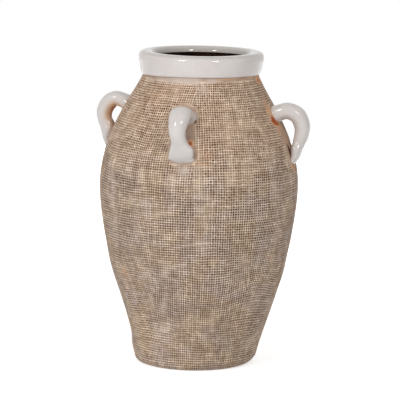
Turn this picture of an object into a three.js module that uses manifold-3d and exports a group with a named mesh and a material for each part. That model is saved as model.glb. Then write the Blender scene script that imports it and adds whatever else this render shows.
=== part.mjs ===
// A hand-built ceramic amphora vase with four strap handles, as the members that a potter makes and
// joins with slip: a floor slab let into the foot, a lower and an upper wall that lap at the belly,
// a thick collar seated in the neck, four pulled handles saddled to the shoulder, and the coat of
// dark glaze that lines the inside and makes it hold water.
// Millimetres, +Z up. The origin is the centre of the foot, on the surface that the vase stands on.
import * as THREE from "three";
import { mergeVertices } from "three/addons/utils/BufferGeometryUtils.js";
import Module from "manifold-3d";

// Joints
const slipGap = 0.3; // layer of slip between two members that are curved or cut to each other

// Outside of the wall
const footRadius = 85.6; // just above the rounded foot edge
const footEdgeRadius = 8;
const footLean = 0.135; // outward slope of the wall where it leaves the foot
const footReach = 59; // how far up that slope steers the curve
const bellyRadius = 139;
const bellyHeight = 258;
const bellyReachDown = 104; // length of upright curve below the belly
const bellyReachUp = 56; // and above it
const neckRadius = 80.3;
const neckHeight = 409;
const neckLean = 0.525; // inward slope of the shoulder where it meets the collar
const neckReach = 50;

// Thickness of the wall, and the lap where its two halves meet
const wallThickness = 9;
const seamBelowBelly = 42;
const lapHeight = 6;

// Foot and floor
const ledgeWidth = 15; // shelf inside the foot that carries the floor slab
const ledgeHeight = 5;
const floorRise = 9; // thickness of the slab above the shelf
const floorEdgeBevel = 2;

// Neck and collar
const neckSeatWidth = 8.3; // flat top of the wall, which the collar sits on
const throatFlare = 9; // height in which the wall thickens to that seat
const spigotDepth = 6; // how far the collar's spigot goes down inside the seat
const spigotRelief = 2; // room left under it for slip
const spigotThickness = 4.4;
const collarHeight = 31;
const collarOverhang = 0.9; // how far the collar's lower edge stands past the neck
const collarFlare = 7.1; // how far the rim stands out past the neck
const collarSwell = 5; // how far the side of the collar bulges on the way up
const rimOuterRounding = 6;
const rimInnerRounding = 4;

// Dark glaze coat
const glazeThickness = 1;
const whiteBoreDepth = 4; // white band between the rounded lip and the dark coat

// Line of a handle, from its upper root to its lower one
const handleDrop = 43; // from the neck down to the upper root
const handleSpan = 60; // from there to the lower root
const handleReach = 38; // how far the line stands out past the wall
const tailStand = 7; // how far from the wall it turns in
const rootDepth = 7; // how far it runs on inside the wall before it is cut to fit
const rootDip = 3; // how far it has dropped there at the upper root
const crownRise = 1; // how much the arm climbs between its root and its crown
const crownStart = 9.5; // distance from the wall at which the level crown starts
const crownEnd = 15; // how far short of the full reach it ends
const elbowInset = 3; // how far short of the full reach the elbow is
const elbowDrop = 9; // from the crown to the elbow
const outermostDrop = 22; // from the crown to the point that stands out furthest
const tailRise = 17; // height above the lower root at which the line turns in to the wall
const heelStand = 1.8; // distance from the wall just above the lower root
const heelRise = 3.4;
const rootDrop = 8.5; // how far the line drops on inside the wall at the lower root

// The strap along that line
const armWidth = 31;
const armThickness = 20;
const crownThickness = 22;
const elbowWidth = 27.6;
const waistWidth = 23.2; // where it stands out furthest
const waistThickness = 20;
const tailWidth = 26;
const tailThickness = 17;
const padWidth = 36; // pressed flat on the wall
const padThickness = 13;
const tipWidth = 30;
const tipThickness = 10;

// The four handles. Each is pulled by hand, so its lengths are a few millimetres more or less than
// the front one's, and its line leans sideways on the way down.
const handles = [
  { name: "front_handle", turn: -90, drop: 0, span: 0, reach: 0, stand: 0, lean: 4 },
  { name: "right_handle", turn: 0, drop: 5, span: 5, reach: 1.4, stand: 1, lean: 0 },
  { name: "back_handle", turn: 90, drop: 2, span: 1, reach: 0, stand: 0, lean: -2 },
  { name: "left_handle", turn: 180, drop: -2, span: -3, reach: -3.5, stand: -1, lean: 0 },
];

// Fineness of the facets
const turnSteps = 48;
const curveSteps = 7;
const roundingSteps = 3;
const strapRings = 22;
const strapSides = 14;
const leastStep = 0.5; // shorter stretches of an outline than this are left out

// Sizes that follow
const seamHeight = bellyHeight - seamBelowBelly;
const floorTop = ledgeHeight + floorRise;
const rimHeight = neckHeight + collarHeight;
const rimRadius = neckRadius + collarFlare;
const throatRadius = neckRadius - neckSeatWidth;
const throatFoot = neckHeight - spigotDepth - spigotRelief;
const spigotRadius = throatRadius - slipGap;
const linedBoreRadius = spigotRadius - spigotThickness;
const mouthRadius = linedBoreRadius - slipGap - glazeThickness;
const glazeTop = rimHeight - rimInnerRounding - whiteBoreDepth;

const wasm = await Module();
wasm.setup();

const point = (radius, height) => new THREE.Vector2(radius, height);

// The outside of the wall, from the top of the foot edge to the neck.
function outerOutline() {
  const lower = new THREE.CubicBezierCurve(
    point(footRadius, footEdgeRadius),
    point(footRadius + footLean * footReach, footEdgeRadius + footReach),
    point(bellyRadius, bellyHeight - bellyReachDown),
    point(bellyRadius, bellyHeight),
  );
  const upper = new THREE.CubicBezierCurve(
    point(bellyRadius, bellyHeight),
    point(bellyRadius, bellyHeight + bellyReachUp),
    point(neckRadius + neckLean * neckReach, neckHeight - neckReach),
    point(neckRadius, neckHeight),
  );
  return [...lower.getPoints(curveSteps), ...upper.getPoints(curveSteps).slice(1)];
}

// The same line moved to its left by a distance, with each corner kept sharp.
function offsetOutline(outline, distance) {
  return outline.map((here, i) => {
    const before = outline[Math.max(i - 1, 0)];
    const after = outline[Math.min(i + 1, outline.length - 1)];
    const normals = [];
    if (i > 0) normals.push(leftNormal(before, here));
    if (i < outline.length - 1) normals.push(leftNormal(here, after));
    const mitre = normals.reduce((sum, n) => sum.add(n), point(0, 0)).normalize();
    return mitre.multiplyScalar(distance / mitre.dot(normals[0])).add(here);
  });
}

function leftNormal(from, to) {
  return point(from.y - to.y, to.x - from.x).normalize();
}

// Radius of a rising outline at a height, on the straight stretch between its points.
function radiusAt(outline, height) {
  const i = outline.findIndex((p, k) => k > 0 && p.y >= height);
  const upper = i > 0 ? outline[i] : outline.at(-1);
  const lower = i > 0 ? outline[i - 1] : outline.at(-2);
  const share = (height - lower.y) / (upper.y - lower.y);
  return lower.x + share * (upper.x - lower.x);
}

// The stretch of a rising outline between two heights.
function stretch(outline, fromHeight, toHeight) {
  const between = outline.filter((p) => p.y > fromHeight + leastStep && p.y < toHeight - leastStep);
  return [
    point(radiusAt(outline, fromHeight), fromHeight),
    ...between,
    point(radiusAt(outline, toHeight), toHeight),
  ];
}

// An arc round a centre, between two directions in degrees.
function rounding(radius, height, size, fromDegrees, toDegrees) {
  const steps = Array.from({ length: roundingSteps + 1 }, (_, i) => i / roundingSteps);
  return steps.map((share) => {
    const angle = THREE.MathUtils.degToRad(THREE.MathUtils.lerp(fromDegrees, toDegrees, share));
    return point(radius + size * Math.cos(angle), height + size * Math.sin(angle));
  });
}

// A solid turned on the wheel: the profile runs anticlockwise, radius to the right and height up.
function turned(profile) {
  const geometry = new THREE.LatheGeometry(profile, turnSteps);
  return geometry.rotateX(Math.PI / 2);
}

const closed = (profile) => [...profile, profile[0].clone()];

const outer = outerOutline();
const inner = offsetOutline(outer, wallThickness);
const lapRadius = radiusAt(outer, seamHeight) - wallThickness / 2;
const floorRadius = radiusAt(inner, floorTop);
const ledgeRadius = floorRadius - ledgeWidth;

// Slab of clay that closes the bottom. It drops in from above, rests on the ledge in the foot and
// comes through flush with the surface that the vase stands on.
function floorSlab() {
  const edge = floorRadius - slipGap;
  const throughRadius = ledgeRadius - slipGap;
  return turned([
    point(0, 0),
    point(throughRadius, 0),
    point(throughRadius, ledgeHeight),
    point(edge, ledgeHeight),
    point(edge, floorTop - floorEdgeBevel),
    point(edge - floorEdgeBevel, floorTop),
    point(0, floorTop),
  ]);
}

// Lower half of the wall, with the standing ring and the floor's ledge at its foot and the tongue
// of the lap on its upper edge.
function lowerWall() {
  const tongueTop = seamHeight + lapHeight - slipGap;
  return turned(
    closed([
      point(ledgeRadius, 0),
      ...rounding(footRadius - footEdgeRadius, footEdgeRadius, footEdgeRadius, -90, 0).slice(0, -1),
      ...stretch(outer, footEdgeRadius, seamHeight),
      point(lapRadius - slipGap, seamHeight),
      point(lapRadius - slipGap, tongueTop),
      ...stretch(inner, floorTop, tongueTop).reverse(),
      point(floorRadius, ledgeHeight),
      point(ledgeRadius, ledgeHeight),
    ]),
  );
}

// Upper half of the wall: it sits on the lower half outside the tongue, and its thickened end is
// the seat of the collar.
function shoulderWall() {
  return turned(
    closed([
      point(lapRadius, seamHeight),
      ...stretch(outer, seamHeight, neckHeight),
      point(throatRadius, neckHeight),
      point(throatRadius, throatFoot),
      ...stretch(inner, seamHeight + lapHeight, throatFoot - throatFlare).reverse(),
      point(lapRadius, seamHeight + lapHeight),
    ]),
  );
}

// Collar that flares to the rim, with a spigot down inside the neck and a bore that is stepped for
// the dark glaze.
function collar() {
  const side = new THREE.QuadraticBezierCurve(
    point(neckRadius + collarOverhang, neckHeight),
    point(rimRadius - rimOuterRounding + collarSwell, neckHeight + collarHeight / 2),
    point(rimRadius, rimHeight - rimOuterRounding),
  );
  return turned(
    closed([
      point(spigotRadius, neckHeight),
      ...side.getPoints(roundingSteps).slice(0, -1),
      ...rounding(rimRadius - rimOuterRounding, rimHeight - rimOuterRounding, rimOuterRounding, 0, 90),
      ...rounding(mouthRadius + rimInnerRounding, rimHeight - rimInnerRounding, rimInnerRounding, 90, 180),
      point(mouthRadius, glazeTop),
      point(linedBoreRadius, glazeTop),
      point(linedBoreRadius, neckHeight - spigotDepth),
      point(spigotRadius, neckHeight - spigotDepth),
    ]),
  );
}

// Coat of dark glaze over the floor, up the wall, round the spigot and up the collar's bore.
function linerGlaze() {
  const surface = [
    point(0, floorTop),
    ...stretch(inner, floorTop, throatFoot - throatFlare),
    point(throatRadius, throatFoot),
    point(throatRadius, neckHeight - spigotDepth),
    point(linedBoreRadius, neckHeight - spigotDepth),
    point(linedBoreRadius, glazeTop - slipGap),
  ];
  const back = offsetOutline(surface, slipGap);
  const face = offsetOutline(surface, slipGap + glazeThickness);
  back[0].x = 0;
  face[0].x = 0;
  return turned([...back, ...face.reverse()]);
}

// The line of a handle in its own upright plane, X out and Z up, from inside the wall at the upper
// root to inside the wall at the lower one.
function strapLine(handle) {
  const upperRoot = neckHeight - handleDrop - handle.drop;
  const lowerRoot = upperRoot - handleSpan - handle.span;
  const reach = handleReach + handle.reach;
  const face = radiusAt(outer, upperRoot);
  const tail = radiusAt(outer, lowerRoot);
  const crown = upperRoot + crownRise;
  const bends = [
    [face - rootDepth, upperRoot - rootDip],
    [face + crownStart, crown],
    [face + reach - crownEnd, crown],
    [face + reach - elbowInset, crown - elbowDrop],
    [face + reach, crown - outermostDrop],
    [tail + tailStand + handle.stand, lowerRoot + tailRise],
    [tail + heelStand, lowerRoot + heelRise],
    [tail - rootDepth, lowerRoot - rootDrop],
  ];
  const drift = (i) => handle.lean * (i / (bends.length - 1)) ** 2;
  const places = bends.map(([x, z], i) => new THREE.Vector3(x, drift(i), z));
  return new THREE.CatmullRomCurve3(places, false, "centripetal");
}

// Half the strap's width and thickness at each bend of its line, joined by a smooth curve.
function strapSections() {
  const sizes = [
    [armWidth, armThickness],
    [armWidth, (armThickness + crownThickness) / 2],
    [armWidth, crownThickness],
    [elbowWidth, (crownThickness + waistThickness) / 2],
    [waistWidth, waistThickness],
    [tailWidth, tailThickness],
    [padWidth, padThickness],
    [tipWidth, tipThickness],
  ];
  return new THREE.SplineCurve(sizes.map(([width, thickness]) => point(width / 2, thickness / 2)));
}

// A closed strap of oval section that swells and narrows along its line.
function strapGeometry(handle) {
  const line = strapLine(handle);
  const sections = strapSections();
  const sideways = new THREE.Vector3(0, 1, 0);
  const corners = [];
  const faces = [];
  for (let ring = 0; ring <= strapRings; ring++) {
    const centre = line.getPoint(ring / strapRings);
    const proud = line.getTangent(ring / strapRings).cross(sideways);
    const half = sections.getPoint(ring / strapRings);
    for (let side = 0; side < strapSides; side++) {
      const angle = (2 * Math.PI * side) / strapSides;
      const corner = centre.clone().addScaledVector(sideways, half.x * Math.cos(angle));
      corners.push(...corner.addScaledVector(proud, half.y * Math.sin(angle)));
    }
  }
  const at = (ring, side) => ring * strapSides + (side % strapSides);
  for (let side = 0; side < strapSides; side++) {
    for (let ring = 0; ring < strapRings; ring++) {
      faces.push(at(ring, side), at(ring + 1, side + 1), at(ring + 1, side));
      faces.push(at(ring, side), at(ring, side + 1), at(ring + 1, side + 1));
    }
    if (side > 0 && side < strapSides - 1) {
      faces.push(at(0, 0), at(0, side + 1), at(0, side));
      faces.push(at(strapRings, 0), at(strapRings, side), at(strapRings, side + 1));
    }
  }
  const geometry = new THREE.BufferGeometry();
  geometry.setAttribute("position", new THREE.Float32BufferAttribute(corners, 3));
  return geometry.setIndex(faces);
}

// A three.js geometry as a solid for cutting, and back again.
function solidOf(geometry) {
  const bare = new THREE.BufferGeometry();
  bare.setAttribute("position", geometry.getAttribute("position"));
  bare.setIndex(geometry.index);
  const merged = mergeVertices(bare, 1e-3);
  return new wasm.Manifold(
    new wasm.Mesh({
      numProp: 3,
      vertProperties: merged.attributes.position.array,
      triVerts: new Uint32Array(merged.index.array),
    }),
  );
}

function geometryOf(solid) {
  const cut = solid.getMesh();
  const geometry = new THREE.BufferGeometry();
  geometry.setAttribute("position", new THREE.BufferAttribute(cut.vertProperties, 3));
  geometry.setIndex(new THREE.BufferAttribute(cut.triVerts, 1));
  const faceted = geometry.toNonIndexed();
  faceted.computeVertexNormals();
  return faceted;
}

// The vase's outer form, solid and one layer of slip larger, which cuts the handles' saddles.
function saddleCutter() {
  const skin = offsetOutline(outer, -slipGap);
  const profile = [point(0, skin[0].y), ...skin, point(0, skin.at(-1).y)];
  return solidOf(turned(profile));
}

// Finishes: bare fired clay, clay marked all over with a woven net, white glaze and dark glaze.
const bareClay = new THREE.MeshStandardMaterial({ color: 0xb3937a, roughness: 0.9 });
const nettedClay = new THREE.MeshStandardMaterial({ color: 0xa59181, roughness: 0.8 });
const whiteGlaze = new THREE.MeshStandardMaterial({ color: 0xd9d3cd, roughness: 0.12 });
const darkGlaze = new THREE.MeshStandardMaterial({ color: 0x1c0f0a, roughness: 0.15 });

const vase = new THREE.Group();

function place(name, geometry, material, turn = 0) {
  const mesh = new THREE.Mesh(geometry, material.clone());
  mesh.name = name;
  mesh.rotation.z = THREE.MathUtils.degToRad(turn);
  vase.add(mesh);
}

place("floor_slab", floorSlab(), bareClay);
place("lower_wall", lowerWall(), nettedClay);
place("shoulder_wall", shoulderWall(), nettedClay);
place("collar", collar(), whiteGlaze);
place("liner_glaze", linerGlaze(), darkGlaze);

const cutter = saddleCutter();
for (const handle of handles) {
  const strap = solidOf(strapGeometry(handle)).subtract(cutter);
  place(handle.name, geometryOf(strap), whiteGlaze, handle.turn);
}

export default vase;
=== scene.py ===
import bisect
import math

import bmesh
import bpy
from mathutils import Matrix, Vector, geometry, noise


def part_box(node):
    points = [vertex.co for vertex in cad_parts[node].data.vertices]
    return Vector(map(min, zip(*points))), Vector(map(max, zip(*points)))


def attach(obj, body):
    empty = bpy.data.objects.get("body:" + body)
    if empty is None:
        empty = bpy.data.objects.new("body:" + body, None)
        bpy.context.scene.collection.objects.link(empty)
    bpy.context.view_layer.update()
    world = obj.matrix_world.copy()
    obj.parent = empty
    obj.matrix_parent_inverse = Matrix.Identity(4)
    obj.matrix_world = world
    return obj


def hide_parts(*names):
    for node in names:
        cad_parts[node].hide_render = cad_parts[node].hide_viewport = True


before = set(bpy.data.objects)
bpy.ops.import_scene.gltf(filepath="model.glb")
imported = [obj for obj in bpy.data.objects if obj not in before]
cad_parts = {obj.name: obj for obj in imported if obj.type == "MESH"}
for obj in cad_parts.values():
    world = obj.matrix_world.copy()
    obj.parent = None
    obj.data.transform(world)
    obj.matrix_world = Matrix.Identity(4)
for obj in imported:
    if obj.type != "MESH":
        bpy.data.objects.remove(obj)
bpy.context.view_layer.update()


# Camera
# A long lens nearly four metres off, a little above the vase and turned to its right, so that the
# front handle stands left of the middle. The photograph is 400 pixels square and slightly tilted.
photo_side = 400
photo_centre = Vector((198.55, 206.0))
focal_pixels = 2742
camera_turn = math.radians(11.9)
camera_distance = 3.818
camera_height = 0.796
camera_roll = math.radians(1.05)
aim = Vector((0, 0, 0.22))

lens = bpy.data.cameras.new("camera")
lens.sensor_width = 36
lens.lens = lens.sensor_width * focal_pixels / photo_side
lens.shift_x = (photo_side / 2 - photo_centre.x) / photo_side
lens.shift_y = (photo_centre.y - photo_side / 2) / photo_side
camera = bpy.data.objects.new("camera", lens)
bpy.context.collection.objects.link(camera)
away = Vector((math.sin(camera_turn), -math.cos(camera_turn), 0))
camera.location = away * camera_distance + Vector((0, 0, camera_height))
facing = (aim - camera.location).to_track_quat("-Z", "Y").to_matrix()
camera.rotation_euler = (facing @ Matrix.Rotation(camera_roll, 3, "Z")).to_euler()
bpy.context.scene.camera = camera


# Floor slab
# A disc of bare clay let into the foot from above. Its underside is turned smooth on the wheel and
# shows the rings of the turning tool. It is joined to the foot with slip.
def paint(red, green, blue):
    """A colour written as it looks, 0 to 255, as the light values that a shader takes."""
    values = [part / 255 for part in (red, green, blue)]
    light = [v / 12.92 if v <= 0.04045 else ((v + 0.055) / 1.055) ** 2.4 for v in values]
    return (*light, 1)


def finish_of(name, roughness):
    """A new material, its node tree and its shader."""
    material = bpy.data.materials.new(name)
    material.use_nodes = True
    shader = material.node_tree.nodes["Principled BSDF"]
    shader.inputs["Roughness"].default_value = roughness
    return material, material.node_tree, shader


def step(tree, kind, *values, **settings):
    """A shader node with its settings and its first sockets filled in or joined."""
    made = tree.nodes.new("ShaderNode" + kind)
    for key, value in settings.items():
        setattr(made, key, value)
    for socket, value in zip(made.inputs, values):
        if isinstance(value, bpy.types.NodeSocket):
            tree.links.new(value, socket)
        elif value is not None:
            socket.default_value = value
    return made.outputs[0]


def calc(tree, operation, *values):
    """A sum, product or other operation on values or on the outputs of nodes."""
    return step(tree, "Math", *values, operation=operation)


def ease(tree, value, start, end, low=0.0, high=1.0):
    """The value carried smoothly from one range to another, and held at its ends."""
    return step(tree, "MapRange", value, start, end, low, high, interpolation_type="SMOOTHSTEP")


def blend(tree, share, first, second, kind="MIX"):
    """The first colour, and as much of the second as the share says."""
    return step(tree, "MixRGB", share, first, second, blend_type=kind)


def mottle(tree, where, per_metre, detail=2.0, roughness=0.5, distortion=0.0):
    """Cloudy variation from 0 to 1, mostly near a half."""
    return step(tree, "TexNoise", where, None, per_metre, detail, roughness, 2.0, 0.0, distortion)


def on_object(tree):
    """A point of the piece itself, in metres, which every pattern is laid on."""
    return tree.nodes.new("ShaderNodeTexCoord").outputs["Object"]


def join(tree, source, shader, socket):
    tree.links.new(source, shader.inputs[socket])


def roughen(tree, shader, height, distance):
    """A bump from a height that runs from 0 to 1, as deep as the distance."""
    bump = tree.nodes.new("ShaderNodeBump")
    bump.inputs["Strength"].default_value = 1
    bump.inputs["Distance"].default_value = distance
    tree.links.new(height, bump.inputs["Height"])
    join(tree, bump.outputs[0], shader, "Normal")


def turn_round(bm, profile, steps):
    """Faces swept once round the upright axis by a line of radius and height."""
    corners = [bm.verts.new((radius, 0, height)) for radius, height in profile]
    edges = [bm.edges.new(pair) for pair in zip(corners, corners[1:])]
    known = set(bm.faces)
    bmesh.ops.spin(
        bm, geom=corners + edges, cent=(0, 0, 0), axis=(0, 0, 1), angle=2 * math.pi,
        steps=steps, use_merge=True,
    )
    return [face for face in bm.faces if face not in known]


def stand_piece(name, bm, material, replaced, crease=50):
    """Closes the modelling of a piece, gives it its finish and puts it in the place of a CAD node."""
    bmesh.ops.recalc_face_normals(bm, faces=bm.faces)
    mesh = bpy.data.meshes.new(name)
    bm.to_mesh(mesh)
    bm.free()
    mesh.shade_smooth()
    mesh.set_sharp_from_angle(angle=math.radians(crease))
    mesh.materials.append(material)
    piece = bpy.data.objects.new(name, mesh)
    bpy.context.collection.objects.link(piece)
    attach(piece, "root")
    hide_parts(replaced)


bare_clay, tree, shader = finish_of("bare_clay", 0.85)
here = on_object(tree)
clouds = mottle(tree, here, 28, 4)
specks = mottle(tree, here, 900, 2, 0.7)
tone = blend(tree, ease(tree, clouds, 0.35, 0.65), paint(186, 160, 138), paint(171, 140, 116))
tone = blend(tree, ease(tree, specks, 0.66, 0.74, 0, 0.6), tone, paint(104, 74, 56))
join(tree, tone, shader, "Base Color")
roughen(tree, shader, mottle(tree, here, 500, 3, 0.6), 0.0004)

slab_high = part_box("floor_slab")[1]
slab_radius = slab_high.x
through_radius = 0.062
slab_ledge = 0.005
slab_chamfer = 0.002
above_floor = 0.0002
ring_depth = 0.0004
ring_spacing = 0.0035
half_rings = 2 * int(through_radius / ring_spacing)
underside = [
    (half * through_radius / half_rings, above_floor + ring_depth * (half % 2))
    for half in range(half_rings + 1)
]
upper_side = [
    (through_radius, slab_ledge),
    (slab_radius, slab_ledge),
    (slab_radius, slab_high.z - slab_chamfer),
    (slab_radius - slab_chamfer, slab_high.z),
    (0, slab_high.z),
]
bm = bmesh.new()
turn_round(bm, underside + upper_side, steps=96)
bmesh.ops.remove_doubles(bm, verts=bm.verts, dist=1e-6)
stand_piece("clay_floor", bm, bare_clay, "floor_slab", crease=30)


# Lower wall
# The foot and the lower half of the wall, thrown with its standing ring and the floor's ledge. While
# it was soft, panels of coarse net were pressed on to it edge to edge, so the threads run straight
# in each panel and meet at seams. A tongue on its upper edge goes up inside the shoulder.
pitch = 0.0035
foot_radius = 0.0856
foot_rounding = 0.008
seam_height, neck_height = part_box("shoulder_wall")[0].z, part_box("shoulder_wall")[1].z
belly_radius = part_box("shoulder_wall")[1].x
belly_height = 0.258
neck_radius = 0.0803
wall_thickness = 0.009
foot_start, foot_steer = Vector((foot_radius, foot_rounding)), Vector((0.0936, 0.067))
belly, below_belly = Vector((belly_radius, belly_height)), Vector((belly_radius, 0.154))
above_belly = Vector((belly_radius, 0.314))
neck_steer, neck = Vector((0.1066, 0.359)), Vector((neck_radius, neck_height))
turns = [math.radians(-90 + degrees) for degrees in range(0, 90, 6)]
foot_middle = Vector((foot_radius - foot_rounding, foot_rounding))
outline = [foot_middle + foot_rounding * Vector((math.cos(a), math.sin(a))) for a in turns]
outline += geometry.interpolate_bezier(foot_start, foot_steer, below_belly, belly, 200)
outline += geometry.interpolate_bezier(belly, above_belly, neck_steer, neck, 200)[1:]
along = [0.0]
for before, after in zip(outline, outline[1:]):
    along.append(along[-1] + (after - before).length)
outline_heights = [point.y for point in outline]


def wall_at(distance):
    """Radius, height and outward direction of the wall at a distance up its outline."""
    i = min(max(bisect.bisect(along, distance), 1), len(along) - 1)
    share = (distance - along[i - 1]) / (along[i] - along[i - 1])
    place = outline[i - 1].lerp(outline[i], share)
    rise = (outline[i] - outline[i - 1]).normalized()
    return place.x, place.y, Vector((rise.y, -rise.x))


def distance_at(height):
    """Distance up the outline of a height on the wall."""
    i = min(max(bisect.bisect(outline_heights, height), 1), len(along) - 1)
    share = (height - outline_heights[i - 1]) / (outline_heights[i] - outline_heights[i - 1])
    return along[i - 1] + share * (along[i] - along[i - 1])


seam = distance_at(seam_height)
wall_end = along[-1]

# Each handle: its direction in degrees, the heights of its roots, how far its loop reaches and its
# lower end stands off the wall, its lean aside, its thicker heel, how strongly its inner face is
# browned by the flame and painted with shade, and the half width of the clay that was wiped smooth
# behind its loop.
handles = {
    "front_handle": dict(
        turn=-90, upper=0.364, lower=0.3075, reach=0.038, stand=0.0098,
        lean=1, heel=0, burn_and_shade=0.12, wiped=0.0145,
    ),
    "right_handle": dict(
        turn=0, upper=0.361, lower=0.296, reach=0.0392, stand=0.0083,
        lean=0, heel=0, burn_and_shade=0.12, wiped=0.018,
    ),
    "back_handle": dict(
        turn=90, upper=0.364, lower=0.303, reach=0.038, stand=0.0078,
        lean=-0.5, heel=0, burn_and_shade=0.5, wiped=0.0145,
    ),
    "left_handle": dict(
        turn=180, upper=0.3684, lower=0.3102, reach=0.0358, stand=0.0063,
        lean=0.1, heel=1, burn_and_shade=1.0, wiped=0.0145,
    ),
}

# Marks on the clay: rust-coloured stains, smears of thin glaze, dark spots at the handle roots
# with painted shade behind the loops, painted light on the lower wall, and the places where the net
# printed flat or bold. Each has its direction in degrees, its height, half width and half height in
# metres, and its strength, where 1 is full.
marks = {
    "rust": [
        (-84.0, 0.3230, 0.0065, 0.0090, 1.1), (-11.5, 0.3480, 0.0140, 0.0120, 1.3),
        (-12.0, 0.3620, 0.0180, 0.0250, 0.5), (-11.0, 0.3330, 0.0050, 0.0070, 0.8),
        (-7.0, 0.3430, 0.0090, 0.0065, 1.2), (-3.0, 0.3300, 0.0300, 0.0420, 0.27),
        (-2.0, 0.2980, 0.0220, 0.0280, 0.4), (-4.5, 0.3030, 0.0060, 0.0120, 0.55),
        (-3.5, 0.2850, 0.0100, 0.0120, 0.8), (-4.0, 0.4025, 0.0160, 0.0110, 0.8),
        (-20.0, 0.4085, 0.0220, 0.0022, 0.6), (-50.0, 0.4083, 0.0280, 0.0020, 0.5),
        (-117.0, 0.3840, 0.0450, 0.0280, 0.18), (-26.0, 0.1620, 0.0140, 0.0100, 0.3),
        (-76.0, 0.3060, 0.0280, 0.0300, 0.2), (-62.0, 0.3350, 0.0350, 0.0200, 0.12),
        (-134.0, 0.1350, 0.0200, 0.0250, 0.2), (98.0, 0.3200, 0.0050, 0.0080, 0.9),
        (80.0, 0.3500, 0.0070, 0.0080, 0.6), (171.0, 0.3250, 0.0050, 0.0080, 0.8),
        (120.0, 0.4083, 0.0300, 0.0026, 0.7),
    ],
    "smear": [
        (-87.0, 0.2885, 0.0160, 0.0140, 0.6), (-92.3, 0.2953, 0.0090, 0.0070, 0.45),
        (-81.1, 0.3600, 0.0080, 0.0080, 0.7), (-135.6, 0.4030, 0.0220, 0.0080, 0.6),
        (-118.0, 0.4045, 0.0280, 0.0080, 0.7), (-103.7, 0.4053, 0.0300, 0.0090, 0.85),
        (-88.0, 0.4050, 0.0280, 0.0100, 0.95), (-68.0, 0.4050, 0.0220, 0.0060, 0.7),
        (-45.0, 0.4035, 0.0160, 0.0050, 0.5), (-76.5, 0.3955, 0.0220, 0.0190, 0.45),
        (-83.5, 0.3820, 0.0110, 0.0140, 0.35), (-97.6, 0.2704, 0.0030, 0.0180, 0.5),
        (-106.3, 0.0583, 0.0160, 0.0160, 0.55), (-61.8, 0.1860, 0.0120, 0.0080, 0.3),
        (-104.4, 0.1870, 0.0040, 0.0040, 0.6), (-99.5, 0.1216, 0.0050, 0.0030, 0.6),
        (-92.7, 0.1124, 0.0020, 0.0120, 0.5), (60.0, 0.4050, 0.0200, 0.0050, 0.7),
        (110.0, 0.4045, 0.0150, 0.0050, 0.6), (165.0, 0.4050, 0.0200, 0.0050, 0.7),
        (75.0, 0.2500, 0.0040, 0.0200, 0.4), (130.0, 0.0900, 0.0150, 0.0120, 0.4),
    ],
    # Dark spots at the handle roots; the painted shade behind the loops is added to this list below.
    "root_spots_and_shade": [
        (-81.3, 0.3523, 0.0035, 0.0035, 0.6), (-5.0, 0.3060, 0.0060, 0.0130, 1.3),
        (95.0, 0.3260, 0.0030, 0.0040, 0.8), (174.0, 0.3180, 0.0040, 0.0090, 0.9),
    ],
    # Painted light: broad lighter patches on the lower wall.
    "pale": [
        (-125.0, 0.0400, 0.0800, 0.0650, 0.8), (-140.0, 0.1150, 0.0500, 0.0600, 0.4),
        (150.0, 0.1000, 0.0700, 0.0600, 0.4),
    ],
    "flat": [
        (-137.4, 0.1157, 0.0100, 0.0080, 1.0), (-8.0, 0.0500, 0.0200, 0.0150, 0.8),
    ],
    "bold": [
        (-80.0, 0.2451, 0.0600, 0.0026, 0.3), (-75.0, 0.1748, 0.0700, 0.0026, 0.35),
        (-62.0, 0.1748, 0.0180, 0.0040, 0.4), (-97.5, 0.2166, 0.0200, 0.0120, 0.25),
        (105.0, 0.2100, 0.0600, 0.0026, 0.3),
    ],
}
stain_and_light_kinds = ("rust", "smear", "root_spots_and_shade", "pale")

# Painted shade on the clay behind three of the loops: half width, half height, strength.
shade_behind_loop = (0.018, 0.036, 0.3)
for node in ("front_handle", "back_handle", "left_handle"):
    middle = (handles[node]["upper"] + handles[node]["lower"]) / 2
    marks["root_spots_and_shade"].append((handles[node]["turn"], middle, *shade_behind_loop))

# Seams between the net's panels: direction in degrees, how far it swings by the neck, and where in
# the panel that starts there its threads run straight up, from its left edge to its right one. The
# threads close up a little where the wall narrows, by this power of its radius.
lower_panels = [
    (-110, 2, 0.5), (-42, -2, 0.5), (16, 3, 0.5), (70, 2, 0.45), (121, -3, 0.6), (172, 3, 0.5),
]
lower_gathering = 0.5
upper_panels = [
    (-128, 3, 0.12), (-80.5, -2, 0.3), (-37, 4, 0.4), (14, -3, 0.5), (69, 3, 0.45),
    (121, -4, 0.6), (174, 2, 0.5),
]
upper_gathering = 0.25
panel_wave = 0.8
panel_sway = 0.0015
row_sway = 0.0009
fine_sway = 0.0004
row_calm = 0.03
seam_ridge = 0.0003
pit_depth = 0.0005
pad_lean = 0.004

# Where the rows of the net ride up or sag: direction in degrees, distance up the wall, half widths
# in degrees and metres, and how far they are pushed up.
pushes = [
    (-35, 0.12, 26, 0.07, 0.008), (-72, 0.13, 22, 0.06, -0.003), (-118, 0.09, 26, 0.06, 0.004),
    (-60, 0.33, 30, 0.05, 0.003), (-110, 0.35, 24, 0.05, -0.004), (40, 0.12, 35, 0.06, -0.007),
    (110, 0.34, 30, 0.05, 0.006), (160, 0.13, 34, 0.07, 0.006), (-165, 0.31, 22, 0.05, 0.004),
]

# Bands where the thrown wall is fuller or thinner than its even outline, on its right side, on its
# left side, and moved to the right as a whole: height, half height, and how far it stands out.
right_bands = [
    (0.08, 0.075, 0.0018), (0.29, 0.05, -0.0010), (0.13, 0.03, 0.0012), (0.325, 0.045, -0.0016),
    (0.375, 0.06, -0.0024),
]
left_bands = [
    (0.132, 0.04, 0.0015), (0.022, 0.018, 0.0022), (0.07, 0.035, -0.0008), (0.29, 0.05, -0.0008),
    (0.393, 0.03, -0.0013),
]
shift_bands = [(0, 0.05, -0.0011), (0.1, 0.06, 0.0004)]

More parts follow.
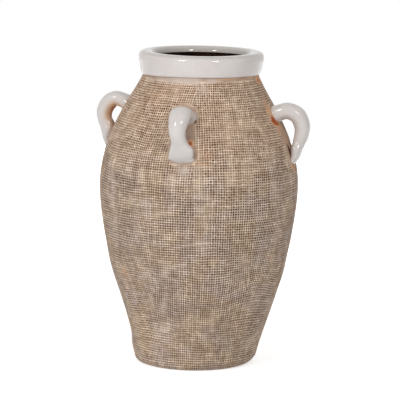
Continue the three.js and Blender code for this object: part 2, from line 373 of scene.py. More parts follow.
# The swell round the right handle's lower root, as a band and its half width in radians, the wear
# on one side of the foot, and the slip rolled up under the collar.
root_swell = (0.306, 0.017, 0.0016)
root_swell_turn = 0.25
foot_wear = 0.0055
foot_wear_height = 0.0125
foot_wear_turn = 0.5
slip_fillet = 0.0014
slip_fillet_height = 0.0045

# The wall is slightly oval and dented, which fades out towards the foot and the neck.
ovalness = 0.0006
oval_turn = 0.7
oval_middle = 0.17
oval_half = 0.18
dent_depth = 0.0009
foot_calm = 0.02
neck_calm = 0.04

# Where the net stays off the clay: the bare band under the collar with its ragged edge, the foot, and
# the pads of clay luted round each handle's roots, by half width and half height.
bare_band = 0.0045
bare_band_wave = 0.0025
foot_band = 0.007
net_fade = 0.004
upper_pad = (0.0175, 0.014)
lower_pad = (0.018, 0.0105)
upper_pad_drop = 0.006
pad_margin = 0.0005
lowest_root = 0.27

# How deep the net is pressed as a rule, how much upright and level patches add or take away, and
# the faintest that they leave it, where 1 is full.
usual_press = 1.02
upright_patches = 0.5
level_patches = 0.4
faintest_press = 0.7


def bell(share):
    """1 in the middle, falling smoothly to 0 at plus and minus 1."""
    return (1 - share * share) ** 2 if abs(share) < 1 else 0.0


def fullness(bands, place):
    """The sum at a place of bands that each swell or thin round their middle."""
    return sum(amount * bell((place - at) / half) for at, half, amount in bands)


def swing(angle, centre):
    """Difference of two angles, from minus to plus half a turn."""
    return (angle - centre + math.pi) % (2 * math.pi) - math.pi


def marked(kind, angle, height, radius):
    """How strongly a place of the wall bears one kind of mark."""
    strongest = 0.0
    for turn, at, wide, tall, strength in marks[kind]:
        if abs(height - at) < tall:
            across = swing(angle, math.radians(turn)) * radius
            reach = math.hypot(across / wide, (height - at) / tall)
            strongest = max(strongest, strength * bell(reach))
    return strongest


def row_push(angle, distance):
    """How far a row of the net lies above its even place."""
    calm = min(distance, abs(distance - seam), wall_end - distance, row_calm) / row_calm
    push = 0.0
    for turn, at, wide, tall, height in pushes:
        across = bell(swing(angle, math.radians(turn)) / math.radians(wide))
        push += height * across * bell((distance - at) / tall)
    where = Vector((9 * math.cos(angle), 9 * math.sin(angle), distance * 22))
    closer = Vector((25 * math.cos(angle), 25 * math.sin(angle), distance * 260))
    sway = row_sway * (noise.noise(where) + 0.18 * noise.noise(where * 3.1))
    return calm * (push + sway + 0.7 * fine_sway * noise.noise(closer))


def panel_edge(panels, index, distance):
    """The direction of a panel's left edge, counted on past the last panel for the first."""
    turn, swings, _ = panels[index % len(panels)]
    lap = 360 * (index // len(panels))
    wave = panel_wave * noise.noise(Vector((index % len(panels) * 7.3, distance * 14, 0.5)))
    return math.radians(turn + lap + swings * distance / wall_end + wave)


def hand_made(angle, height):
    """How far the thrown wall stands out from true round at a place."""
    facing_right = math.cos(swing(angle, camera_turn))
    right = max(facing_right, 0) ** 2
    left = min(facing_right, 0) ** 2
    full = right * fullness(right_bands, height) + left * fullness(left_bands, height)
    full += facing_right * fullness(shift_bands, height)
    full += fullness([root_swell], height) * bell(swing(angle, 0) / root_swell_turn)
    full += slip_fillet * bell((neck_height - height) / slip_fillet_height) * (1 - left)
    towards_wear = max(0, math.cos(swing(angle, camera_turn - foot_wear_turn))) ** 2
    full -= foot_wear * bell(height / foot_wear_height) * towards_wear
    oval = ovalness * math.cos(2 * angle + oval_turn) * bell((height - oval_middle) / oval_half)
    around = Vector((2.6 * math.cos(angle), 2.6 * math.sin(angle), height * 17))
    dents = dent_depth * noise.noise(around) * min(1, height / foot_calm)
    return full + min(1, (neck_height - height) / neck_calm) * (oval + dents)


def root_distance(angle, height):
    """Distance over the wall to the nearest handle, from the outline of the clay pressed on there."""
    nearest = 1.0
    for handle in handles.values():
        across = swing(angle, math.radians(handle["turn"])) * wall_at(distance_at(height))[0]
        upper, lower = handle["upper"] - upper_pad_drop, handle["lower"]
        for at, wide, tall in ((upper, *upper_pad), (lower, *lower_pad)):
            drift = -pad_lean * handle["lean"] if at == lower else 0
            reach = math.hypot((across + drift) / wide, (height - at) / tall)
            nearest = min(nearest, (reach - 1) * min(wide, tall))
        if lower < height < upper:
            nearest = min(nearest, abs(across) - handle["wiped"])
    return nearest


def pressed(angle, distance, height):
    """How deep the net is pressed at a place, 0 to 1, or a little more where it is boldest."""
    ragged = noise.noise(Vector((7 * math.cos(angle), 7 * math.sin(angle), 3)))
    neck_band = (wall_end - distance - bare_band - bare_band_wave * ragged) / net_fade
    foot = distance / foot_band
    upright = noise.noise(Vector((7 * math.cos(angle) + 4, 7 * math.sin(angle) + 1, height * 11)))
    level = noise.noise(Vector((2.4 * math.cos(angle), 2.4 * math.sin(angle) + 2, height * 48)))
    patches = usual_press + upright_patches * upright + level_patches * level
    near_root = (root_distance(angle, height) - pad_margin) / net_fade if height > lowest_root else 1
    radius = wall_at(distance)[0]
    bold = marked("bold", angle, height, radius)
    flat = 1 - marked("flat", angle, height, radius)
    return bold + max(0.0, min(1.0, neck_band, foot, near_root, flat, max(patches, faintest_press)))


def net_skin(bm, low, high, panels, gathering):
    """The outside of the wall between two distances up its outline, one panel of net after another."""
    net_map = bm.loops.layers.uv["net"]
    press = bm.verts.layers.float["press"]
    stain_and_light_layers = {kind: bm.verts.layers.float[kind] for kind in stain_and_light_kinds}
    rows = round((high - low) / pitch)
    row_pitch = (high - low) / rows
    first_row = round((low - seam) / pitch)
    skin = []
    for index, (_, _, hold) in enumerate(panels):
        spans = []
        for row in range(2 * rows + 1):
            even = low + row * row_pitch / 2
            left, right = panel_edge(panels, index, even), panel_edge(panels, index + 1, even)
            straight = left + hold * (right - left)
            radius = wall_at(even)[0]
            half = pitch / 2 * (radius / belly_radius) ** gathering
            left, right = (left - straight) * radius, (right - straight) * radius
            spans.append((even, straight, radius, half, left, right))
        first = math.floor(min(span[4] / span[3] for span in spans))
        last = math.ceil(max(span[5] / span[3] for span in spans))
        columns = last - first
        grid = bmesh.ops.create_grid(bm, x_segments=columns, y_segments=2 * rows, size=0.5)["verts"]
        cloth = {}
        for corner in grid:
            column = first + round((corner.co.x + 0.5) * columns)
            row = round((corner.co.y + 0.5) * 2 * rows)
            even, straight, radius, half, left, right = spans[row]
            sway = panel_sway * noise.noise(Vector((index * 5.1, column * 0.03, even * 19)))
            sway += fine_sway * noise.noise(Vector((index * 3.7, column * 0.45, even * 60)))
            across = column * half + sway
            inside = left + half / 3 < across < right - half / 3
            if not inside:
                across = left if across < (left + right) / 2 else right
            angle = straight + across / radius
            distance = even + row_push(angle, even)
            radius, height, outward = wall_at(distance)
            depth = pressed(angle, distance, height)
            corner[press] = depth
            for kind, layer in stain_and_light_layers.items():
                corner[layer] = marked(kind, angle, height, radius)
            radius += hand_made(angle, height)
            if inside and column % 2 and row % 2:
                uneven = 0.8 + 0.5 * noise.noise(Vector((column * 0.7, row * 0.7, index)))
                raised = -pit_depth * depth * uneven
            elif not inside and 0 < row < 2 * rows:
                raised = seam_ridge * min(depth, 1)
            else:
                raised = 0
            radius += raised * outward.x
            height += raised * outward.y
            corner.co = (radius * math.cos(angle), radius * math.sin(angle), height)
            cloth[corner] = ((across - sway) / (2 * half) + 60 * index, first_row + row / 2)
        for face in {face for corner in grid for face in corner.link_faces}:
            skin.append(face)
            for loop in face.loops:
                loop[net_map].uv = cloth[loop.vert]
    return skin


map_width = 0.96


def lay_out(bm, faces, low, high):
    """Lays faces that go round the axis out in a band of the map that the finish is kept in."""
    layer = bm.loops.layers.uv["OFBake"]
    sizes = [math.hypot(v.co.x, v.co.y) + 2 * v.co.z for face in faces for v in face.verts]
    least, most = min(sizes), max(sizes)
    for face in faces:
        centre = face.calc_center_median()
        middle = math.atan2(centre.y, centre.x)
        for loop in face.loops:
            x, y, z = loop.vert.co
            turn = middle + swing(math.atan2(y, x), middle)
            share = (math.hypot(x, y) + 2 * z - least) / (most - least)
            loop[layer].uv = (0.5 + map_width * turn / (2 * math.pi), low + (high - low) * share)


def fill_ring(bm, height):
    """Closes the flat ring between the two open edges at a height."""
    rims = [e for e in bm.edges if e.is_boundary and all(abs(v.co.z - height) < 1e-5 for v in e.verts)]
    made = bmesh.ops.triangle_fill(bm, use_beauty=True, edges=rims, normal=(0, 0, 1))
    return [part for part in made["geom"] if isinstance(part, bmesh.types.BMFace)]


def netted_wall(low, high, panels, gathering, inside):
    """A wall's netted skin, its smooth inner side and the flat rings that join them."""
    bm = bmesh.new()
    for name in ("net", "OFBake"):
        bm.loops.layers.uv.new(name)
    for name in ("press", *stain_and_light_kinds):
        bm.verts.layers.float.new(name)
    skin = net_skin(bm, low, high, panels, gathering)
    lay_out(bm, skin, 0.01, 0.7)
    lining = turn_round(bm, inside, steps=96)
    lay_out(bm, lining, 0.72, 0.92)
    bmesh.ops.remove_doubles(bm, verts=bm.verts, dist=2e-5)
    bmesh.ops.dissolve_degenerate(bm, edges=bm.edges, dist=1e-6)
    ends = fill_ring(bm, wall_at(low)[1])
    lay_out(bm, ends, 0.93, 0.96)
    ends = fill_ring(bm, wall_at(high)[1])
    lay_out(bm, ends, 0.97, 0.99)
    return bm


inner_samples = 400


def inner_line(low, high, steps):
    """The inner side of the wall between two heights, from the lower to the upper."""
    line = []
    for i in range(inner_samples):
        radius, height, outward = wall_at(wall_end * i / (inner_samples - 1))
        line.append((radius - wall_thickness * outward.x, height - wall_thickness * outward.y))
    picked = []
    for height in [low + (high - low) * i / steps for i in range(steps + 1)]:
        above = [i for i in range(1, inner_samples) if line[i][1] >= height]
        i = above[0] if above else inner_samples - 1
        share = (height - line[i - 1][1]) / (line[i][1] - line[i - 1][1])
        picked.append((line[i - 1][0] + share * (line[i][0] - line[i - 1][0]), height))
    return picked


def mark_on(tree, name):
    """The strength of a mark, which each corner of the mesh carries."""
    mark = tree.nodes.new("ShaderNodeAttribute")
    mark.attribute_name = name
    return mark.outputs["Fac"]


netted_clay, tree, shader = finish_of("netted_clay", 0.75)
shader.inputs["Specular IOR Level"].default_value = 0.1
here = on_object(tree)
cloth_map = step(tree, "UVMap", uv_map="net")
apart = tree.nodes.new("ShaderNodeSeparateXYZ")
tree.links.new(cloth_map, apart.inputs[0])
place = tree.nodes.new("ShaderNodeSeparateXYZ")
tree.links.new(here, place.inputs[0])
press, rust, smear, root_spots_and_shade, pale = [mark_on(tree, name) for name in ("press", *stain_and_light_kinds)]
frayed = calc(tree, "MULTIPLY", calc(tree, "SUBTRACT", mottle(tree, here, 420, 2), 0.5), 0.35)
from_cell = []
thread_tones = []
for axis in (0, 1):
    thread = calc(tree, "ADD", apart.outputs[axis], frayed)
    from_cell.append(calc(tree, "ABSOLUTE", calc(tree, "SUBTRACT", calc(tree, "FRACT", thread), 0.5)))
    number = calc(tree, "FLOOR", calc(tree, "ADD", thread, 0.5))
    along_thread = calc(tree, "MULTIPLY", apart.outputs[1 - axis], 0.13)
    on_thread = step(tree, "CombineXYZ", calc(tree, "MULTIPLY", number, 7.31), along_thread, 3.7 * axis)
    thread_tones.append(ease(tree, mottle(tree, on_thread, 1, 2, 0.6), 0.36, 0.64))
cell_numbers = [calc(tree, "FLOOR", apart.outputs[axis]) for axis in (0, 1)]
of_cell = step(tree, "CombineXYZ", *cell_numbers, 0.0)
cell_depth = ease(tree, step(tree, "TexWhiteNoise", of_cell, noise_dimensions="2D"), 0, 1, 0.8, 1.1)
cell_half = calc(tree, "ADD", 0.24, calc(tree, "MULTIPLY", mottle(tree, here, 60, 2), 0.16))
cell_edge = [calc(tree, "ADD", cell_half, 0.06), calc(tree, "SUBTRACT", cell_half, 0.05)]
cell = calc(tree, "MULTIPLY", *[ease(tree, side, *cell_edge) for side in from_cell])
warmth = ease(tree, mottle(tree, here, 24, 3, 0.6, 0.4), 0.36, 0.64)
high_up = ease(tree, place.outputs["Z"], 0.25, 0.35)
upright = step(tree, "Mapping", here, None, None, (1, 1, 0.22), vector_type="POINT")
level = step(tree, "Mapping", here, None, None, (0.25, 0.25, 1), vector_type="POINT")
streaks = calc(tree, "ADD", mottle(tree, upright, 60, 3, 0.6), mottle(tree, level, 110, 3, 0.6))
faded = ease(tree, mottle(tree, here, 40, 3, 0.6), 0.34, 0.6, 0.88, 1.0)
contrast = calc(tree, "MULTIPLY", faded, cell_depth)
threads = blend(tree, warmth, paint(232, 213, 199), paint(237, 215, 190))
threads = blend(tree, calc(tree, "MULTIPLY", high_up, 0.8), threads, paint(242, 215, 190))
threads = blend(tree, calc(tree, "MULTIPLY", thread_tones[0], 0.38), threads, paint(152, 121, 95))
threads = blend(tree, calc(tree, "MULTIPLY", thread_tones[1], 0.38), threads, paint(148, 117, 89))
# The net's hollow cells are painted dark brown: painted shade in the recesses between the threads.
painted_pit_shade = blend(tree, warmth, paint(66, 42, 25), paint(72, 43, 20))
painted_pit_shade = blend(tree, calc(tree, "MULTIPLY", high_up, 0.8), painted_pit_shade, paint(93, 58, 31))
uneven = calc(tree, "MULTIPLY", calc(tree, "SUBTRACT", mottle(tree, here, 170, 4, 0.65), 0.5), 1.1)
smeared = ease(tree, calc(tree, "ADD", smear, uneven), 0.2, 0.75)
smeared = calc(tree, "MULTIPLY", smeared, ease(tree, smear, 0.0, 0.2))
open_cell = calc(tree, "MULTIPLY", calc(tree, "MULTIPLY", cell, contrast), press)
open_cell = calc(tree, "MULTIPLY", open_cell, ease(tree, smeared, 0, 1, 1, 0.25))
open_cell = calc(tree, "MINIMUM", open_cell, 1.0)
colour = blend(tree, open_cell, threads, painted_pit_shade)
plain = blend(tree, warmth, paint(174, 154, 139), paint(178, 151, 131))
plain = blend(tree, ease(tree, uneven, -0.15, 0.2), plain, paint(160, 135, 114))
colour = blend(tree, ease(tree, press, 0.0, 0.5, 0.9, 0.0), colour, plain)
colour = blend(tree, calc(tree, "MULTIPLY", smeared, 0.72), colour, paint(199, 185, 175))
stained = calc(tree, "ADD", rust, calc(tree, "MULTIPLY", uneven, ease(tree, rust, 0.0, 0.3)))
colour = blend(tree, ease(tree, stained, 0.05, 0.5, 0, 0.8), colour, paint(222, 174, 136))
colour = blend(tree, ease(tree, stained, 0.5, 0.95, 0, 0.9), colour, paint(176, 86, 38))
colour = blend(tree, ease(tree, stained, 0.95, 1.35, 0, 0.85), colour, paint(96, 38, 16))
# Dark spots at the handle roots, and painted shade behind three of the loops.
darkened = calc(tree, "ADD", root_spots_and_shade, calc(tree, "MULTIPLY", uneven, ease(tree, root_spots_and_shade, 0.0, 0.3)))
colour = blend(tree, ease(tree, darkened, 0.0, 0.9, 0, 0.95), colour, paint(72, 47, 32))
# Random streaks of lighter and darker clay, and painted light where the pale marks lie.
streaky = ease(tree, streaks, 0.75, 1.25, 0.93, 1.07)
shade = calc(tree, "ADD", streaky, calc(tree, "MULTIPLY", pale, 0.2))
colour = blend(tree, 1.0, colour, shade, "MULTIPLY")
join(tree, colour, shader, "Base Color")
thread_top = calc(tree, "SUBTRACT", 1.0, open_cell)
relief = calc(tree, "ADD", thread_top, calc(tree, "MULTIPLY", mottle(tree, here, 1400, 2, 0.6), 0.5))
roughen(tree, shader, relief, 0.0003)

slip = 0.0003
ledge_radius = through_radius + slip
floor_top = slab_high.z
lap_radius = wall_at(seam)[0] - wall_thickness / 2
tongue_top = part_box("lower_wall")[1].z
tongue_radius = lap_radius - slip
bowl = inner_line(floor_top, tongue_top, 22)
ledge = [(ledge_radius, 0), (ledge_radius, slab_ledge), (bowl[0][0], slab_ledge)]
inside = ledge + bowl + [(tongue_radius, tongue_top), (tongue_radius, seam_height)]
bm = netted_wall(0, seam, lower_panels, lower_gathering, inside)
stand_piece("netted_lower_wall", bm, netted_clay, "lower_wall", crease=60)


# Shoulder wall
# The belly, the shoulder and the neck, thrown separately and lapped over the tongue of the lower
# half. The same net covers it up to a bare band under the collar. Its top is the collar's seat.
throat_radius = 0.072
throat_foot = 0.401
throat_start = 0.392
lap_height = seam_height + 0.006
inside = [(lap_radius, seam_height), (lap_radius, lap_height)]
inside += inner_line(lap_height, throat_start, 18)
inside += [(throat_radius, throat_foot), (throat_radius, neck_height)]
bm = netted_wall(seam, wall_end, upper_panels, upper_gathering, inside)
stand_piece("netted_shoulder", bm, netted_clay, "shoulder_wall", crease=60)


# Collar
# A thick ring of clay thrown on to the neck, flaring to a rounded lip, and dipped in an off-white
# glaze that runs over the lip and a little way down inside.
collar_low, collar_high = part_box("collar")
rim_radius, rim_height = collar_high.x, collar_high.z
lip_rounding = 0.0085
mouth_radius = 0.066
inner_rounding = 0.008
glaze_top = 0.4318
lined_bore = 0.0673
spigot_radius = throat_radius - slip
seat_height = neck_height + 0.0002
collar_swell = 0.0005
collar_unevenness = 0.0004
front_dip = 0.0015
back_dip = 0.0004

# The glaze stands out in a roll over the collar's foot and sags on its left side. Its colour is
# darker round the mouth, and the top of the lip carries painted shade.
glaze_roll = 0.0012
roll_middle = 0.003
roll_half = 0.013
glaze_sag = 0.0024
sag_half = 0.012
darker_from_mouth = 0.005
painted_top_shade_depth = 0.0045
painted_top_shade = 0.47
lip_flat = 0.0005


def arc(radius, height, size, start, end, steps):
    """Part of a circle in a profile, between two directions in degrees."""
    turns = [math.radians(start + (end - start) * i / steps) for i in range(steps + 1)]
    return [(radius + size * math.cos(turn), height + size * math.sin(turn)) for turn in turns]


white_glaze, tree, shader = finish_of("white_glaze", 0.06)
here = on_object(tree)
burn_and_shade, thin_glaze_and_shade = mark_on(tree, "burn_and_shade"), mark_on(tree, "thin_glaze_and_shade")
clouds = mottle(tree, here, 30, 3, 0.5)
fine = mottle(tree, here, 260, 3, 0.6)
tone = blend(tree, ease(tree, clouds, 0.35, 0.65), paint(214, 208, 204), paint(210, 202, 198))
tone = blend(tree, ease(tree, fine, 0.6, 0.72, 0, 0.2), tone, paint(200, 190, 180))
# Darker round the mouth and where the glaze is thinner at the handle roots, and painted shade on top of
# the collar's lip.
tone = blend(tree, thin_glaze_and_shade, tone, paint(180, 174, 166))
# Flashing inside the loops: orange-brown, over a light brown first stage that is partly painted shade.
uneven_burn = calc(tree, "ADD", burn_and_shade, calc(tree, "MULTIPLY", calc(tree, "SUBTRACT", fine, 0.5), 0.35))
lightly = calc(tree, "MULTIPLY", ease(tree, uneven_burn, 0.0, 0.5), ease(tree, burn_and_shade, 0.0, 0.2))
tone = blend(tree, lightly, tone, paint(204, 174, 146))
tone = blend(tree, ease(tree, uneven_burn, 0.45, 1.1), tone, paint(198, 116, 54))
specks = ease(tree, mottle(tree, here, 700, 1), 0.66, 0.72)
spots = calc(tree, "MULTIPLY", specks, ease(tree, burn_and_shade, 0.5, 0.8))
tone = blend(tree, spots, tone, paint(40, 22, 14))
join(tree, tone, shader, "Base Color")
roughen(tree, shader, mottle(tree, here, 80, 1, 0.4), 0.00006)

side = geometry.interpolate_bezier(
    Vector((neck_radius + 0.0024, neck_height + 0.0024)),
    Vector((neck_radius + 0.0035, neck_height + 0.008)),
    Vector((rim_radius - 0.0004, neck_height + 0.015)),
    Vector((rim_radius, rim_height - lip_rounding)),
    12,
)
profile = [(spigot_radius, seat_height), (neck_radius, seat_height)]
profile += [(neck_radius + 0.0014, neck_height + 0.0004), (neck_radius + 0.0021, neck_height + 0.0012)]
profile += [tuple(point) for point in side[:-1]]
profile += arc(rim_radius - lip_rounding, rim_height - lip_rounding, lip_rounding, 0, 90, 9)
profile += arc(mouth_radius + inner_rounding, rim_height - inner_rounding, inner_rounding, 90, 180, 8)
profile += [(mouth_radius, glaze_top), (lined_bore, glaze_top)]
profile += [(lined_bore, collar_low.z), (spigot_radius, collar_low.z)]
bm = bmesh.new()
thin_glaze_and_shade_layer = bm.verts.layers.float.new("thin_glaze_and_shade")
turn_round(bm, profile + profile[:1], steps=160)
bmesh.ops.remove_doubles(bm, verts=bm.verts, dist=1e-6)
for corner in bm.verts:
    x, y, z = corner.co
    angle = math.atan2(y, x)
    radius = math.hypot(x, y)
    outward = Vector((x, y, 0)).normalized()
    rise = max(0, (z - neck_height) / (rim_height - neck_height))
    uneven = noise.noise(Vector((18 * x, 18 * y, z * 20)))
    if radius > throat_radius - 0.0005:
        swell = collar_swell * math.sin(2 * angle + 1.1) + collar_unevenness * uneven
        corner.co += outward * swell * rise
    if radius > neck_radius + 0.001:
        corner.co += outward * glaze_roll * bell((z - neck_height - roll_middle) / roll_half)
        to_left = max(0, -math.cos(swing(angle, camera_turn))) ** 2
        corner.co.z -= glaze_sag * bell((z - neck_height) / sag_half) * to_left
    to_front = math.cos(swing(angle, camera_turn - math.pi / 2))
    corner.co.z -= rise * (back_dip * (1 - to_front) / 2 + front_dip * max(0, to_front))
    # Darker round the mouth, and painted shade on top of the lip.
    near_mouth = bell(max(0, radius - mouth_radius) / darker_from_mouth)
    on_top = bell(min(0, (z - rim_height + lip_flat) / painted_top_shade_depth))
    corner[thin_glaze_and_shade_layer] = max(near_mouth, painted_top_shade * on_top)
stand_piece("glazed_collar", bm, white_glaze, "collar", crease=40)


# Dark lining
# The coat of brown-black glaze poured round inside and tipped out again, which makes the pot hold
# water. It covers the floor, the wall and the bore up to just below the lip.
dark_glaze, tree, shader = finish_of("dark_glaze", 0.12)
here = on_object(tree)
drawn_out = step(tree, "Mapping", here, None, None, (1, 1, 0.25), vector_type="POINT")
runs = mottle(tree, drawn_out, 60, 3)
tone = blend(tree, ease(tree, runs, 0.4, 0.66), paint(26, 15, 10), paint(52, 30, 18))
join(tree, tone, shader, "Base Color")
roughen(tree, shader, mottle(tree, here, 90, 2), 0.0004)

coat = 0.001
floor_fillet = 0.003
floor_fillet_lean = 0.0006
throat_fillet = 0.0006
step_fillet = 0.0018
lining_top = glaze_top - slip
floor_level = floor_top + slip
bore = lined_bore - slip
throat = throat_radius - slip
wall_line = inner_line(floor_top, throat_start, 40)
back = [(radius - slip, height) for radius, height in wall_line]
back += [(throat, throat_foot), (throat, collar_low.z - slip)]
back += [(bore, collar_low.z - slip), (bore, lining_top)]
back[0] = (back[0][0], floor_level)
face = [(radius - slip - coat, height) for radius, height in wall_line]
face += [(throat - coat, throat_foot + throat_fillet), (bore - coat, collar_low.z - step_fillet)]
face += [(bore - coat, lining_top)]
face[0] = (face[0][0] - floor_fillet, floor_level + coat)
face.insert(1, (face[1][0] - floor_fillet_lean, floor_level + coat + floor_fillet))
profile = [(0, floor_level)] + back + face[::-1] + [(0, floor_level + coat)]
bm = bmesh.new()
turn_round(bm, profile, steps=128)
bmesh.ops.remove_doubles(bm, verts=bm.verts, dist=1e-6)
stand_piece("dark_lining", bm, dark_glaze, "liner_glaze", crease=50)


# Handles
# Four straps pulled from a lump of clay, bent over while soft and pressed on to the shoulder, the
# upper root luted on and the lower end thumbed flat and cut straight. They are glazed like the
# collar, and the glaze turned brown where the flame reached inside the loop; the light brown on the
# inner faces is partly painted shade.
usual_drop = 0.065


def off_wall(height, stand):
    """A point that stands off the wall at a height, as distance from the axis and height."""
    return wall_at(distance_at(height))[0] + stand, height


def strap_line(handle):
    """The bends of a handle's line, as distance from the axis and height, in its own plane."""
    upper, lower, reach, stand = [handle[key] for key in ("upper", "lower", "reach", "stand")]
    face = off_wall(upper, 0)[0]
    crown = upper - 0.001
    longer = (upper - lower) / usual_drop
    return [
        (face - 0.005, crown - 0.0080),
        (face + 0.0085, crown - 0.002),
        (face + 0.019, crown),
        (face + reach - 0.007, crown - 0.0063),
        (face + reach - 0.0005, crown - 0.0215 * longer),
        (face + reach - 0.0015, lower + 0.030 * longer),
        off_wall(lower + 0.0215 * longer, stand + 0.45 * (reach - 0.025)),
        off_wall(lower + 0.0115 * longer, stand),
        off_wall(lower + 0.0018, 0.5 * stand),
        off_wall(lower - 0.0045, -0.0004),
        off_wall(lower - 0.0070, -0.0022),
    ]


def smooth_line(points, share):
    """A point of a smooth line through all the points, which bends no tighter than it must."""
    spans = len(points) - 1
    at = min(share * spans, spans - 1e-9)
    i = int(at)
    ends = [points[max(i - 1, 0)], points[i], points[i + 1], points[min(i + 2, spans)]]
    ends = [Vector(p) for p in ends]
    if i == 0:
        ends[0] = 2 * ends[1] - ends[2]
    if i == spans - 1:
        ends[3] = 2 * ends[2] - ends[1]
    knots = [0.0]
    for a, b in zip(ends, ends[1:]):
        knots.append(knots[-1] + math.sqrt(max((b - a).length, 1e-9)))
    t = knots[1] + (at - i) * (knots[2] - knots[1])

    def between(a, b, from_knot, to_knot):
        return a + (b - a) * ((t - from_knot) / (to_knot - from_knot))

    first = between(ends[0], ends[1], knots[0], knots[1])
    second = between(ends[1], ends[2], knots[1], knots[2])
    third = between(ends[2], ends[3], knots[2], knots[3])
    before = between(first, second, knots[0], knots[2])
    after = between(second, third, knots[1], knots[3])
    return between(before, after, knots[1], knots[2])


# Half width and half thickness of the strap at each bend, how far it leans aside there, and how much
# of the flame's brown and the painted shade on the inside of its loop it has there. A heel is thicker
# low down and thinner at the root: place and half length of each band as shares of the strap, and how
# much thicker it is.
strap_sizes = [
    (0.0150, 0.0104), (0.0156, 0.0114), (0.0155, 0.0115), (0.0143, 0.0116), (0.0119, 0.0110),
    (0.0106, 0.0100), (0.0116, 0.0092), (0.0160, 0.0080), (0.0172, 0.0062), (0.0165, 0.0048),
    (0.0118, 0.0034),
]
strap_leans = [
    (0, 0.3), (0, 0.6), (-0.0002, 0.95), (-0.0005, 1.0), (-0.0013, 0.8), (-0.0002, 0.6),
    (0.0010, 0.45), (0.0036, 0.3), (0.0030, 0.1), (0.0032, 0), (0.0040, 0),
]
heel_bands = [(0.62, 0.15, 0.0014), (0.13, 0.17, -0.0011)]
strap_rings = 64
strap_sides = 28
direction_span = 0.002
strap_roundness = 0.9
end_rounding = 0.0014
root_fillet = 0.0016
strap_wander = 0.0005
strap_lumps = 0.0003
lumps_per_metre = 65

# The flame's brown, with its painted shade, reaches past the middle of a strap's side by this share of
# its half thickness, and gathers on its inner face by this power. At the root the glaze is thinner,
# over this share of the strap.
burn_reach = 0.35
burn_power = 1.4
thin_at_root = 0.4
thin_share = 0.1


def clearance(place):
    """How far a point stands out from the wall."""
    radius, _, outward = wall_at(distance_at(place.z))
    return (math.hypot(place.x, place.y) - radius) * outward.x


for number, (node, handle) in enumerate(handles.items()):
    bends = strap_line(handle)
    bm = bmesh.new()
    burn_and_shade = bm.verts.layers.float.new("burn_and_shade")
    thin_glaze_and_shade_layer = bm.verts.layers.float.new("thin_glaze_and_shade")
    ring = bmesh.ops.create_circle(bm, segments=strap_sides, radius=1)["verts"]
    for corner in ring:
        corner.co.x = math.copysign(abs(corner.co.x) ** strap_roundness, corner.co.x)
        corner.co.y = math.copysign(abs(corner.co.y) ** strap_roundness, corner.co.y)
    standing = Matrix.Identity(4)
    turn = Matrix.Rotation(math.radians(handle["turn"]), 4, "Z")
    for k in range(strap_rings + 1):
        share = k / strap_rings
        x, z = smooth_line(bends, share)
        ahead = smooth_line(bends, min(share + direction_span, 1))
        behind = smooth_line(bends, max(share - direction_span, 0))
        forward = Vector((ahead.x - behind.x, 0, ahead.y - behind.y)).normalized()
        width, thick = smooth_line(strap_sizes, share)
        thick += handle["heel"] * fullness(heel_bands, share)
        drift, burn_and_shade_share = smooth_line(strap_leans, share)
        aside = drift * handle["lean"]
        aside += strap_wander * noise.noise(Vector((share * 6, number * 3.7, 0)))
        across = Vector((0, 1, 0))
        proud = forward.cross(across)
        axes = Matrix((across * width, proud * thick, forward * 0.01)).transposed().to_4x4()
        placed = turn @ Matrix.Translation((x, aside, z)) @ axes
        if k:
            rim = [e for e in bm.edges if e.verts[0] in ring and e.verts[1] in ring]
            made = bmesh.ops.extrude_edge_only(bm, edges=rim)["geom"]
            ring = {part for part in made if isinstance(part, bmesh.types.BMVert)}
        else:
            bmesh.ops.contextual_create(bm, geom=list(ring))
            ring = set(ring)
        bmesh.ops.transform(bm, matrix=placed @ standing.inverted(), verts=list(ring))
        standing = placed
        # The flame's brown, with its painted shade, gathers on the strap's inner face.
        for corner in ring:
            inward = -(placed.inverted() @ corner.co).y
            within = max(0.0, (inward + burn_reach) / (1 + burn_reach))
            corner[burn_and_shade] = handle["burn_and_shade"] * burn_and_shade_share * within ** burn_power
            corner[thin_glaze_and_shade_layer] = thin_at_root * bell(share / thin_share)
    end = bmesh.ops.contextual_create(bm, geom=[e for e in bm.edges if e.is_boundary])["faces"]
    bmesh.ops.recalc_face_normals(bm, faces=bm.faces)
    bmesh.ops.bevel(
        bm, geom=list(end[0].edges), offset=end_rounding, segments=3, profile=0.5, affect="EDGES",
        material=-1,
    )
    bm.normal_update()
    for corner in bm.verts:
        corner.co += corner.normal * root_fillet * math.exp(-max(clearance(corner.co), 0) / root_fillet)
        lumps = noise.noise(corner.co * lumps_per_metre + Vector((number * 11, 0, 0)))
        corner.co += corner.normal * strap_lumps * lumps
    stand_piece(node.replace("handle", "strap"), bm, white_glaze, node, crease=60)


# Studio
# A pale floor, a white surround, two small softboxes that give the glaze its glints, and three broad
# lamps that leave no image in it. The left side is lit a little more than the right.
lit_point = Vector((0, 0, 0.3))


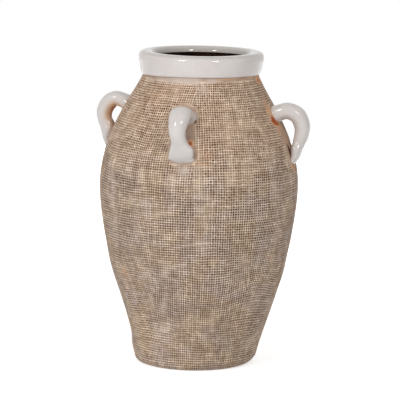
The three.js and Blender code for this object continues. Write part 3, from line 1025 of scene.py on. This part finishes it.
def lamp(name, turn, rise, distance, size, power, in_gloss):
    """A flat lamp that looks at the vase from a direction in degrees, counted from the camera's."""
    light = bpy.data.lights.new(name, "AREA")
    light.shape = "RECTANGLE"
    light.size, light.size_y = size
    light.energy = power
    holder = bpy.data.objects.new(name, light)
    holder.visible_glossy = in_gloss
    bpy.context.collection.objects.link(holder)
    angle = camera_turn + math.radians(turn)
    level, upward = math.cos(math.radians(rise)), math.sin(math.radians(rise))
    from_vase = Vector((level * math.sin(angle), -level * math.cos(angle), upward))
    holder.location = lit_point + distance * from_vase
    holder.rotation_euler = (-from_vase).to_track_quat("-Z", "Y").to_euler()


lamp("left_softbox", -36, 34, 2.0, (0.3, 0.45), 9, True)
lamp("right_softbox", 27, 34, 2.0, (0.3, 0.45), 8, True)
lamp("left_broad_lamp", -45, 12, 3.0, (2.4, 1.1), 20, False)
lamp("right_broad_lamp", 35, 12, 3.0, (2.4, 1.1), 7, False)
lamp("back_broad_lamp", 175, 12, 3.0, (2.4, 1.1), 16, False)


def seen_as_backdrop(tree):
    """1 for rays that show the backdrop, straight or in gloss or glass, and 0 for rays that light."""
    path = tree.nodes.new("ShaderNodeLightPath")
    seen = calc(tree, "MAXIMUM", path.outputs["Is Camera Ray"], path.outputs["Is Glossy Ray"])
    return calc(tree, "MAXIMUM", seen, path.outputs["Is Transmission Ray"])


world = bpy.data.worlds.new("surround")
bpy.context.scene.world = world
world.use_nodes = True
tree = world.node_tree
surround = tree.nodes["Background"]
on_vase = 0.35
strength = calc(tree, "ADD", calc(tree, "MULTIPLY", seen_as_backdrop(tree), 1 - on_vase), on_vase)
tree.links.new(strength, surround.inputs["Strength"])
surround.inputs["Color"].default_value = (1, 1, 1, 1)

floor_gap = 0.0003
bm = bmesh.new()
bmesh.ops.create_circle(bm, cap_ends=True, segments=96, radius=2.5)
bmesh.ops.translate(bm, vec=(0, 0, -floor_gap), verts=bm.verts)
mesh = bpy.data.meshes.new("studio_floor")
bm.to_mesh(mesh)
bm.free()
floor = bpy.data.objects.new("studio_floor", mesh)
bpy.context.collection.objects.link(floor)
pale, tree, shader = finish_of("pale_floor", 0.9)
shader.inputs["Base Color"].default_value = paint(238, 238, 238)
shader.inputs["Emission Color"].default_value = (1, 1, 1, 1)
from_middle = step(tree, "VectorMath", on_object(tree), operation="LENGTH").node.outputs["Value"]
glow = ease(tree, from_middle, 0.1, 1.0, 0.58, 0.98)
join(tree, calc(tree, "MULTIPLY", seen_as_backdrop(tree), glow), shader, "Emission Strength")
mesh.materials.append(pale)

bpy.context.scene.view_settings.view_transform = "Standard"
